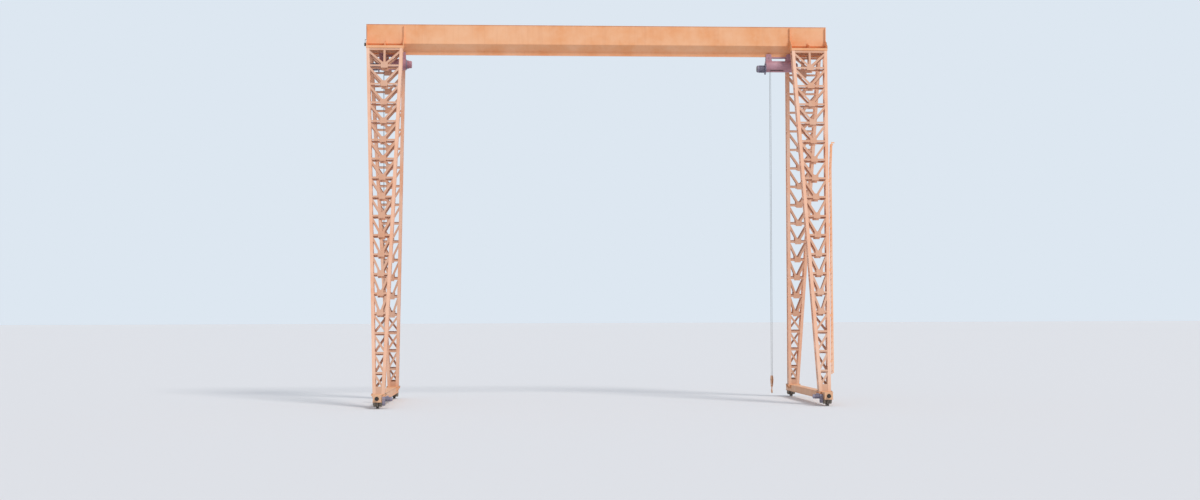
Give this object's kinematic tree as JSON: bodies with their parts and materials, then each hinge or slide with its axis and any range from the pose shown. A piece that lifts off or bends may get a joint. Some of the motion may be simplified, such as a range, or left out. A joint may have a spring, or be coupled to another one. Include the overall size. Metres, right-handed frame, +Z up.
{
  "type": "gantry crane",
  "caption": "Box-girder gantry crane on tapered lattice columns, with wheeled ground beams and electric wire-rope hoists that travel under the girder.",
  "frame": {"origin": "on the ground under the middle of the crane, at the level of the wheels' lowest points", "axes": "+X to the right along the girder as seen in the picture, +Y away from the camera along the rails, +Z up"},
  "size_m": [24.79, 11.2, 20.06],
  "materials": {
    "orange_paint": "weathered satin orange paint",
    "dark_machinery_paint": "dull dark grey paint",
    "blue_grey_motor_paint": "satin blue-grey paint",
    "dark_red_paint": "satin dark red paint",
    "wheel_steel": "cast steel with a bright rolled tread",
    "drum_steel": "greased machined steel",
    "wire_rope": "greased stranded wire",
    "hook_paint": "worn orange paint on forged steel",
    "black_rubber": "matt black rubber"
  },
  "bodies": {
    "frame": {"girder_top_plate": "orange_paint", "girder_web_near": "orange_paint", "girder_web_far": "orange_paint", "girder_slope_near": "orange_paint", "girder_slope_far": "orange_paint", "track_beam": "orange_paint", "girder_end_plates": "orange_paint", "leg_caps": "orange_paint", "girder_brackets": "orange_paint", "ground_beam_left": "orange_paint", "ground_beam_right": "orange_paint", "bearing_boxes": "dark_machinery_paint", "travel_drive_left": "blue_grey_motor_paint", "travel_drive_right": "blue_grey_motor_paint", "buffers": "black_rubber", "ladder": "orange_paint", "end_lamps": "dark_machinery_paint", "column_left_near_outer": "orange_paint", "column_left_near_inner": "orange_paint", "column_left_near_sides": "orange_paint", "column_left_far_outer": "orange_paint", "column_left_far_inner": "orange_paint", "column_left_far_sides": "orange_paint", "column_right_near_outer": "orange_paint", "column_right_near_inner": "orange_paint", "column_right_near_sides": "orange_paint", "column_right_far_outer": "orange_paint", "column_right_far_inner": "orange_paint", "column_right_far_sides": "orange_paint"},
    "wheel_left_near": {"wheel_left_near": "wheel_steel"},
    "wheel_left_far": {"wheel_left_far": "wheel_steel"},
    "wheel_right_near": {"wheel_right_near": "wheel_steel"},
    "wheel_right_far": {"wheel_right_far": "wheel_steel"},
    "hoist_left": {"hoist_left_trolley": "dark_red_paint", "hoist_left_casing": "dark_red_paint", "hoist_left_drum": "drum_steel", "hoist_left_motor": "blue_grey_motor_paint", "hoist_left_ropes": "wire_rope"},
    "hook_left": {"hoist_left_hook": "hook_paint"},
    "hoist_right": {"hoist_right_trolley": "dark_red_paint", "hoist_right_casing": "dark_red_paint", "hoist_right_drum": "drum_steel", "hoist_right_motor": "blue_grey_motor_paint", "hoist_right_ropes": "wire_rope"},
    "hook_right": {"hoist_right_hook": "hook_paint"}
  },
  "joints": [
    {"name": "wheel_left_near_roll", "type": "hinge", "parent": "frame", "child": "wheel_left_near", "pos_m": [-11.25, -5, 0.275], "axis": [1, 0, 0], "continuous": true},
    {"name": "wheel_left_far_roll", "type": "hinge", "parent": "frame", "child": "wheel_left_far", "pos_m": [-11.25, 5, 0.275], "axis": [1, 0, 0], "continuous": true},
    {"name": "wheel_right_near_roll", "type": "hinge", "parent": "frame", "child": "wheel_right_near", "pos_m": [11.25, -5, 0.275], "axis": [1, 0, 0], "continuous": true},
    {"name": "wheel_right_far_roll", "type": "hinge", "parent": "frame", "child": "wheel_right_far", "pos_m": [11.25, 5, 0.275], "axis": [1, 0, 0], "continuous": true},
    {"name": "hoist_left_travel", "type": "slide", "parent": "frame", "child": "hoist_left", "axis": [1, 0, 0], "range_m": [-0.05, 9.75]},
    {"name": "hoist_left_lift", "type": "slide", "parent": "hoist_left", "child": "hook_left", "axis": [0, 0, 1], "range_m": [0, 15.55], "deforming": ["hoist_left_ropes"]},
    {"name": "hoist_right_travel", "type": "slide", "parent": "frame", "child": "hoist_right", "axis": [1, 0, 0], "range_m": [-8.43, 1.37]},
    {"name": "hoist_right_lift", "type": "slide", "parent": "hoist_right", "child": "hook_right", "axis": [0, 0, 1], "range_m": [0, 16], "deforming": ["hoist_right_ropes"]}
  ]
}
